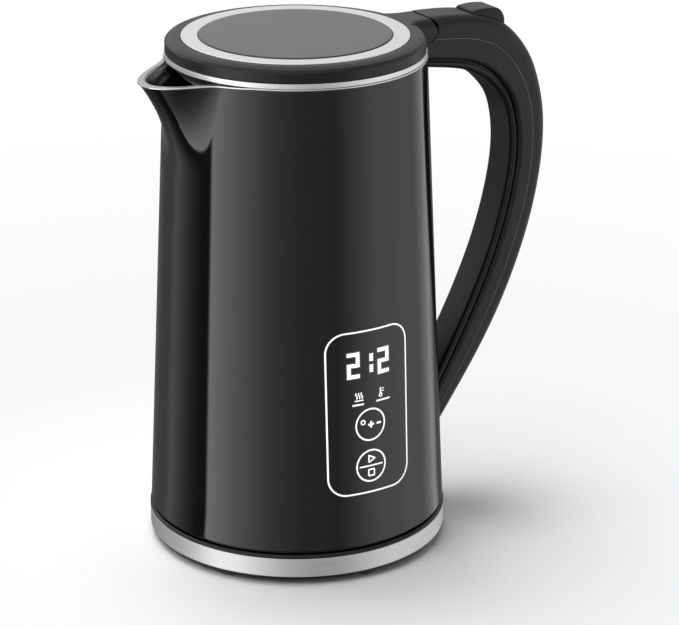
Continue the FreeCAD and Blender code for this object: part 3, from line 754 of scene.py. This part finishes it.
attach(glow, "kettle")

# Handle: two satin ABS mouldings that meet in a seam, and a grip strip set in a groove on the inside.
# All three follow the same two curves: the handle's outer line and its inner line.
outer_line = np.array((
    (56.0, 246.3), (80.0, 246.0), (97.0, 243.8), (112.0, 237.0), (121.8, 226.8), (129.5, 212.0),
    (133.5, 196.5), (134.7, 181.0), (132.0, 154.5), (123.2, 123.1), (109.6, 92.3), (91.2, 62.1), (67.7, 28.9),
))
inner_line = np.array((
    (56.0, 223.9), (78.5, 220.5), (89.7, 217.6), (97.9, 213.4), (101.6, 210.6), (108.7, 202.8),
    (112.8, 193.6), (114.8, 181.0), (112.9, 158.0), (105.1, 129.5), (92.6, 100.4), (76.6, 70.5), (62.8, 46.2),
))
middle_steps = np.linalg.norm(np.diff((outer_line + inner_line) / 2, axis=0), axis=1)
station = np.concatenate(((0,), np.cumsum(middle_steps)))


def curve_through(points, along):
    """Natural cubic spline through the stations: the second derivatives that keep its slope unbroken solve
    one set of linear equations, and are zero at both ends."""
    step = np.diff(station)[:, None]
    slope = np.diff(points, axis=0) / step
    width = step[:, 0]
    system = np.diag(np.concatenate(((1,), 2 * (width[:-1] + width[1:]), (1,))))
    system += np.diag(np.concatenate((width[:-1], (0,))), -1)
    system += np.diag(np.concatenate(((0,), width[1:])), 1)
    wanted = np.concatenate((np.zeros((1, 2)), 6 * np.diff(slope, axis=0), np.zeros((1, 2))))
    second = np.linalg.solve(system, wanted)
    span = np.clip(np.searchsorted(station, along, side="right") - 1, 0, len(station) - 2)
    past = (along - station[span])[..., None]
    size = step[span]
    first = slope[span] - size * (2 * second[span] + second[span + 1]) / 6
    third = (second[span + 1] - second[span]) / (6 * size)
    return points[span] + past * (first + past * (second[span] / 2 + past * third))


def handle_at(along, share, offset, y):
    """Point of the handle: from the outer towards the inner line by a share of the depth and an offset."""
    outer = curve_through(outer_line, along)
    across = curve_through(inner_line, along) - outer
    depth = np.linalg.norm(across, axis=-1)
    place = outer + across * (share + offset / depth)[..., None]
    return np.stack((place[..., 0], y + 0 * depth, place[..., 1]), axis=-1)


def section(half, outer, inner, steps=6):
    """Closed section of the handle between an outer and an inner face (share, offset, round): a quarter arc
    at each corner, and three points on the straight run to the next one. Returns shares, offsets and y."""
    quarters = ((outer, 1, 0), (outer, -1, 90), (inner, -1, 180), (inner, 1, 270))
    corners = [(*face, side * (half - face[2]), first) for face, side, first in quarters]
    share, offset, size, y, first = np.array(corners, float).T[:, :, None]
    angle = np.radians(first + np.linspace(0, 90, steps + 1))
    arcs = np.stack((share + 0 * angle, offset - size * np.sin(angle), y + size * np.cos(angle)), axis=-1)
    runs = arcs[:, -1:] + run_shares[:, None] * (np.roll(arcs[:, :1], -1, axis=0) - arcs[:, -1:])
    return np.concatenate((arcs, runs), axis=1).reshape(-1, 3).T


hinge_x = 65.0
hinge_z = 241.0
hinge_room = 6.05
least_room = 2.9
lip_room = 235.3
sunk = 0.25


def swept(shape, meets_hinge=False, rows=160, tries=900):
    """Section carried along the handle. Each line of it runs from where it leaves the body, or the round room
    about the hinge's axis, to where it enters the body again, a little under the body's skin; both ends
    close on their middle."""
    share, offset, y = shape
    along = np.linspace(station[0], station[-1], tries)[:, None] + 0 * share
    path = handle_at(along, share, offset, y)
    out = np.hypot(path[..., 0], path[..., 1]) - body_radius(path[..., 2]) + sunk
    if meets_hinge:
        room = np.sqrt(np.clip(hinge_room ** 2 - (path[..., 2] - hinge_z) ** 2, least_room ** 2, None))
        out = np.minimum(out, path[..., 0] - hinge_x - room)
    first = np.argmax(out > 0, axis=0)
    last = len(along) - 1 - np.argmax(out[::-1] > 0, axis=0)
    start = along[first, 0]
    end = along[last, 0]
    travel = start + np.linspace(0, 1, rows)[:, None] * (end - start)
    return closed_ends(handle_at(travel, share, offset, y))


def under_barrel(grid):
    """Grid kept under the lid's hinge: no point stands over the lip in front of the hinge's axis, or inside a
    round room about that axis."""
    x = grid[..., 0]
    bowl = hinge_z - np.sqrt(np.clip(hinge_room ** 2 - (x - hinge_x) ** 2, 0, None))
    highest = np.where(x < hinge_x, lip_room, np.where(x < hinge_x + hinge_room, bowl, np.inf))
    return np.concatenate((grid[..., :2], np.minimum(grid[..., 2], highest)[..., None]), axis=-1)


def plate(outline, low_y, high_y):
    """Plate across Y from a closed outline of (x, z) points; both faces close on the outline's middle."""
    middle = outline.mean(axis=0) + 0 * outline
    layers = ((middle, low_y), (outline, low_y), (outline, high_y), (middle, high_y))
    return np.stack([np.stack((line[:, 0], y + 0 * line[:, 0], line[:, 1]), axis=1) for line, y in layers])


handle_half = 11.5
back_half = 11.35
bead_half = 11.56
grip_half = 10.2
neck_half = 9.0
seam_share = 0.42
groove_share = 0.84
grip_share = 0.87
crown_round = 5.0
inside_round = 2.4
grip_round = 2.5
back_section = section(back_half, (0, crown_round, crown_round), (seam_share, -0.3, 0.2))
frame_section = section(handle_half, (seam_share, 0.3, 0.3), (groove_share, -inside_round, inside_round))
seam_section = section(bead_half, (seam_share, -0.05, 0.1), (seam_share, 0.05, 0.1))
grip_section = section(grip_half, (grip_share, 0.8, 0.8), (1.0, -grip_round, grip_round))
neck_section = section(neck_half, (groove_share, 0.1, 0.1), (grip_share, 0.9, 0.1))
lug_radius = 3.8
lug_foot = 3.0
lug_heel = 0.4
lug_low = 234.0
lug_width = 2.9
lug_inner = 3.4
lug_angle = np.radians(np.linspace(-84, 217.8, 40))
lug_outline = np.concatenate((
    np.stack((hinge_x + lug_radius * np.cos(lug_angle), hinge_z + lug_radius * np.sin(lug_angle)), axis=1),
    ((hinge_x - lug_foot, lug_low), (hinge_x + lug_heel, lug_low)),
))
lugs = [plate(lug_outline, low, low + lug_width) for low in (-lug_inner - lug_width, lug_inner)]
# A fine bead along the seam is coloured a paler grey: a painted highlight for the light its edge catches
seam_highlight_grey = mottled("abs_edge_painted_highlight", "#58595a", "#767778", 4, 2.0, {"Roughness": 0.3})
back = skin("handle_back_moulding", [swept(back_section, meets_hinge=True)], satin_black)
body_side = skin("handle_frame_moulding", [under_barrel(swept(frame_section))] + lugs, satin_black)
bead = skin("handle_seam_bead", [swept(seam_section, meets_hinge=True)], seam_highlight_grey)
# The crown is cut open for the release button, the latch, the button's leg and its spring.
# Each opening is (front, rear, low, high, half width).
button_front = 92.6
button_rear = 110.6
button_half = 7.5
latch_low = 237.0
latch_high = 240.4
latch_half = 4.5
spring_x = 107.5
spring_low = 222.0
spring_room = 3.9
leg_front = 90.0
leg_low = 235.0
leg_width = 3.0
leg_rise = 9.7
leg_half = 2.4
slip = 0.3
travel_floor = 233.5
over_crown = 260.0
leg_floor = 231.5
leg_pocket_top = 238.0
spring_hole_top = 240.0
for low_x, high_x, low_z, high_z, half in (
    (button_front - 0.4, button_rear + slip, travel_floor, over_crown, button_half + slip),
    (hinge_x, button_front, latch_low - slip, latch_high + slip, latch_half + slip),
    (leg_front - 1.5, leg_front + 6.0, leg_floor, leg_pocket_top, leg_half + 0.5),
    (spring_x - spring_room, spring_x + spring_room, spring_low + 0.2, spring_hole_top, spring_room),
):
    outline = np.array(((low_x, low_z), (high_x, low_z), (high_x, high_z), (low_x, high_z)))
    cutter = skin("opening", [plate(outline, -half, half)], satin_black)
    for piece in (back, body_side, bead):
        cut = piece.modifiers.new("opening", "BOOLEAN")
        cut.operation = "DIFFERENCE"
        cut.object = cutter
        opened = bpy.data.meshes.new_from_object(piece.evaluated_get(bpy.context.evaluated_depsgraph_get()))
        piece.modifiers.clear()
        piece.data = opened
    bpy.data.objects.remove(cutter)
for piece in (back, body_side, bead):
    piece.data.set_sharp_from_angle(angle=smooth_angle)
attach(bead, "kettle")
grip = skin("handle_grip_strip", [swept(grip_section), swept(neck_section)], satin_black)
for piece, node, slot in (
    (back, "handle_back", "satin_plastic"), (body_side, "handle_frame", "satin_plastic"),
    (grip, "handle_grip", "grip_plastic"),
):
    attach(piece, "kettle")
    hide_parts(node)

# Lid cap: a satin ABS moulding with a shallow recess for the ring and disc, and a tongue that ends in the
# hinge barrel.
lid_radius = 60.2
lid_low = 238.7
ring_outer = 52.8
ring_inner = 44.9
ring_low = 244.2
ring_top = 245.8
recess_radius = ring_outer + 0.2
recess_top = 245.5
cap_under = 242.0
skirt_inner = lid_radius - 2.2
cap_side_top = 243.4
cap_bevel = (lid_radius - 1.2, 244.6)
cap_slope = (lid_radius - 4.0, 245.3)
cap_profile = rounded(
    (
        (0, cap_under), (skirt_inner, cap_under), (skirt_inner, lid_low), (lid_radius, lid_low),
        (lid_radius, cap_side_top), cap_bevel, cap_slope, (recess_radius, recess_top),
        (recess_radius, ring_low), (0, ring_low),
    ),
    (0, 0.3, 0.2, 0.4, 0.8, 1.2, 2.0, 0.3, 0.1, 0), open_end=True,
)


def raised(stations, half_width, top, under, edge, slot_half=None, slot_under=None):
    """Closed form along X: at each station a flat underside, upright sides and a top whose two edges are
    quarter arcs. A slot along the middle of the underside reaches up to its own height."""
    slot_half = 0.3 * half_width if slot_half is None else slot_half + 0 * half_width
    slot_under = under if slot_under is None else slot_under
    edge = np.minimum(edge, np.maximum(top - under, 0.0))
    angle = np.linspace(0, np.pi / 2, 9)
    right_y = (half_width - edge)[:, None] + edge[:, None] * np.cos(angle)
    arc_z = (top - edge)[:, None] + edge[:, None] * np.sin(angle)
    crown = np.linspace(0.9, -0.9, 9) * (half_width - edge)[:, None]
    y = np.concatenate((
        right_y, crown, -right_y[:, ::-1], -half_width[:, None], -slot_half[:, None], -slot_half[:, None],
        slot_half[:, None], slot_half[:, None], half_width[:, None],
    ), axis=1)
    z = np.concatenate((
        arc_z, top[:, None] + 0 * crown, arc_z[:, ::-1], under[:, None], under[:, None], slot_under[:, None],
        slot_under[:, None], under[:, None], under[:, None],
    ), axis=1)
    return closed_ends(np.stack((stations[:, None] + 0 * y, y, z), axis=-1))


barrel_radius = 5.7
tongue_crown = 246.0
tongue_step = 1.0
tongue_half = 11.3
tongue_start = 49.5
climb_length = 9.5
flare_end = 62.0
flare_length = 12.5
tongue_flare = 8.0
sharp_edge = 0.4
edge_growth = 3.6
lug_room = lug_radius + 0.3
knuckle_inner = 6.6
roof_start = hinge_x - lug_foot - 0.4
tongue_x = np.concatenate((
    np.linspace(tongue_start, roof_start, 28), np.linspace(roof_start + 0.01, hinge_x, 12),
    hinge_x + barrel_radius * np.sin(np.linspace(0.05, np.pi / 2, 28)),
))
past_axis = np.clip(tongue_x - hinge_x, 0, barrel_radius)
barrel_rise = np.sqrt(barrel_radius ** 2 - past_axis ** 2)
room_rise = np.sqrt(np.clip(lug_room ** 2 - (tongue_x - hinge_x) ** 2, 0, None))
climb = np.clip((tongue_x - tongue_start) / climb_length, 0, 1)
climb = climb * climb * (3 - 2 * climb)
flare = np.clip((flare_end - tongue_x) / flare_length, 0, 1)
tongue_top = np.minimum(tongue_crown - tongue_step * (1 - climb), hinge_z + barrel_rise)
barrel_under = hinge_z - np.sqrt(np.clip(barrel_radius ** 2 - (tongue_x - hinge_x) ** 2, 0, None))
tongue_under = np.where(tongue_x < hinge_x, np.minimum(lid_low + 0.1, barrel_under), barrel_under)
tongue = raised(
    tongue_x, tongue_half + tongue_flare * flare ** 2, tongue_top, tongue_under,
    sharp_edge + edge_growth * climb, knuckle_inner,
    np.where(tongue_x > roof_start, hinge_z + room_rise, tongue_under),
)
cap = skin("lid_cap_moulding", [turned(cap_profile), tongue], satin_black)
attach(cap, "lid")
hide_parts("lid_cap")

# Lid ring: a flat washer of stainless steel, glued in the cap's recess. It is brushed more finely than the
# base band, so its shine is sharper, and its colour is painted lighter than the band's: painted light on this
# upward-facing ring.
ring_profile = rounded(
    ((ring_inner, ring_low), (ring_outer, ring_low), (ring_outer, ring_top), (ring_inner, ring_top)),
    (0.1, 0.1, 0.35, 0.35),
)
fine_steel_painted_light = brushed("fine_brushed_stainless_steel", "#e2e3e3", "#f4f4f4", 0.24, 0.34)
ring = skin("lid_ring_washer", [turned(ring_profile)], fine_steel_painted_light)
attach(ring, "lid")
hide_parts("lid_ring")

# Lid disc: a flat plate of dark grey ABS with a rounded edge, set inside the ring. It is moulded in a smooth
# tool, so it mirrors the room softly.
disc_radius = ring_inner - 0.2
disc_top = 246.1
grey_disc = mottled("grey_gloss_abs", "#141516", "#191a1b", 30, 1.0, {"Roughness": 0.14, "IOR": 1.4})
disc_profile = rounded(
    ((0, ring_low), (disc_radius, ring_low), (disc_radius, disc_top), (0, disc_top)),
    (0, 0.1, 0.6, 0), open_end=True,
)
disc = skin("lid_disc_cap", [turned(disc_profile)], grey_disc)
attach(disc, "lid")
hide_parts("lid_disc")

# Lid pan: the lid's underside, pressed from stainless steel sheet and screwed to the cap. Its edge shows as a
# bright band under the cap.
pan_low = 229.0
pan_high = 238.6
pan_wall = 0.8
pan_radius = 60.6
pan_inner = pan_radius - pan_wall
pan_edge_low = 236.25
pan_under = pan_high - pan_wall
well_radius = 53.4
well_inner = well_radius - pan_wall
pan_profile = rounded(
    (
        (0, pan_low), (well_radius, pan_low), (well_radius, pan_under), (pan_inner, pan_under),
        (pan_inner, pan_edge_low), (pan_radius, pan_edge_low), (pan_radius, pan_high), (well_inner, pan_high),
        (well_inner, pan_low + pan_wall), (0, pan_low + pan_wall),
    ),
    (0, 0.35, 0.3, 0.1, 0.1, 0.15, 0.15, 0.1, 0.1, 0), open_end=True,
)
pan_steel = brushed("pressed_stainless_steel", "#e4e5e6", "#f2f3f4", 0.42, 0.54)
pan = skin("lid_pan_pressing", [turned(pan_profile)], pan_steel)
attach(pan, "lid")
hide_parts("lid_pan")

# Release button: an ABS cap with a domed roof that slides down in the handle's crown. Two skirts run beside
# the latch, and a slanted leg draws the latch back.
roof_under = latch_high + 3.3
button_foot = 237.0
channel_rear = 104.6
channel_half = 5.2
skirt_front = 92.8
skirt_low_front = 240.9
skirt_low_rear = 236.8
dome_top = 246.4
dome_middle = 99.5
dome_curve = 0.012
front_round = 0.9
rear_round = 4.5
button_edge = 1.3
button_x = np.concatenate((
    button_front + front_round * (1 - np.cos(np.linspace(0, np.pi / 2, 8))), np.linspace(94, 105.5, 20),
    button_rear - rear_round * (1 - np.sin(np.linspace(0.15, np.pi / 2, 16))),
))
before_front = np.clip(button_front + front_round - button_x, 0, front_round)
past_rear = np.clip(button_x - button_rear + rear_round, 0, rear_round)
front_drop = front_round - np.sqrt(np.clip(front_round ** 2 - before_front ** 2, 0, None))
rear_drop = rear_round - np.sqrt(np.clip(rear_round ** 2 - past_rear ** 2, 0, None))
button_top = dome_top - dome_curve * (button_x - dome_middle) ** 2 - front_drop - rear_drop
button_under = np.where(button_x < channel_rear, roof_under, button_foot)
skirt_top = roof_under + 0.3
skirt = np.array((
    (skirt_front, skirt_low_front), (channel_rear, skirt_low_rear), (channel_rear, skirt_top),
    (skirt_front, skirt_top),
))
leg = np.array(((0, 0), (leg_width, 0), (leg_width + leg_rise, leg_rise), (leg_rise, leg_rise)))
leg = leg + (leg_front, leg_low)
button = skin(
    "release_button_cap",
    [
        raised(button_x, button_half + 0 * button_x, button_top, button_under, button_edge + 0 * button_x),
        plate(skirt, channel_half, button_half - 0.05), plate(skirt, 0.05 - button_half, -channel_half),
        plate(leg, -leg_half, leg_half),
    ],
    satin_black,
)
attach(button, "button")
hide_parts("release_button")

# Button spring: a coil of steel wire between the handle's post and the button, which squeezes it. The wire is
# plated with zinc, which has a soft grey shine.
coil_radius = 3.0
wire_radius = 0.5
coil_turns = 6
coil_low = spring_low + 0.8
coil_length = 13.0
round_coil = np.linspace(0, 2 * np.pi * coil_turns, 240)[:, None]
round_wire = np.linspace(0, 2 * np.pi, 12, endpoint=False)
coil_far = coil_radius + wire_radius * np.cos(round_wire)
coil_grid = np.stack((
    spring_x + coil_far * np.cos(round_coil), coil_far * np.sin(round_coil),
    coil_low + coil_length * round_coil / round_coil[-1] + wire_radius * np.sin(round_wire),
), axis=-1)
zinc_finish = {"Metallic": 1.0, "Roughness": 0.32}
zinc_steel = mottled("zinc_plated_steel", "#a9abad", "#c6c8ca", 0.8, 3.0, zinc_finish)
spring = skin("button_spring_coil", [closed_ends(coil_grid)], zinc_steel)
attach(spring, "kettle")
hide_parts("button_spring")
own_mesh(spring)

# Pieces that keep their plain shape: mouldings, seals, contacts, heater, electronics, screws and a spring.
# Natural nylon is milky and silicone rubber a matt grey, brass is yellow and shines, aluminium that has been
# hot is dull and blotched, and moulded epoxy is a matt black.
nylon = mottled("natural_nylon", "#c9c5b8", "#d9d6cb", 8, 3.0, {"Roughness": 0.5})
rubber = mottled("grey_silicone_rubber", "#2b2c2d", "#37383a", 2, 4.0, {"Roughness": 0.72})
brass = mottled("contact_brass", "#b8923f", "#d8b768", 3, 4.0, {"Metallic": 1.0, "Roughness": 0.3})
heater_metal = mottled("heated_aluminium", "#8c8781", "#b9b7b4", 9, 5.0, {"Metallic": 1.0, "Roughness": 0.55})
epoxy = mottled("black_epoxy_case", "#17181a", "#24262a", 1.5, 4.0, {"Roughness": 0.5})
# Solder mask shows the weave of the glass cloth under it
solder_mask, tree, shader = new_material("green_solder_mask")
spot = add(tree, "ShaderNodeTexCoord").outputs["Object"]
cloth = {"Vector": spot, "Scale": per_mm(1.2), "Distortion": 1.5}
weave = add(tree, "ShaderNodeTexWave", cloth).outputs["Fac"]
tones = {"Factor": weave, "A": linear("#14402a"), "B": linear("#1b5236")}
green = add(tree, "ShaderNodeMix", tones, data_type="RGBA").outputs["Result"]
feed(tree, shader, {"Base Color": green, "Roughness": 0.35})

for material, names in (
    (satin_black, ("base_tray", "base_socket", "connector_housing", "bottom_cover")),
    (nylon, ("liner_cradle", "latch_slide")),
    (rubber, ("base_feet", "cord_gland", "probe_seal", "lid_seal", "touch_pads")),
    (brass, ("socket_contacts", "connector_pins")),
    (heater_metal, ("diffuser_plate", "heating_element", "temperature_probe")),
    (zinc_steel, (
        "base_screws", "bottom_screws", "board_screws", "handle_screws", "lid_screws", "hinge_pin",
        "lid_spring",
    )),
    (solder_mask, ("power_board", "control_board")),
    (epoxy, ("thermal_cutouts", "heater_relay", "display_module", "indicator_lights")),
):
    for name in names:
        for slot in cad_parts[name].material_slots:
            slot.material = material
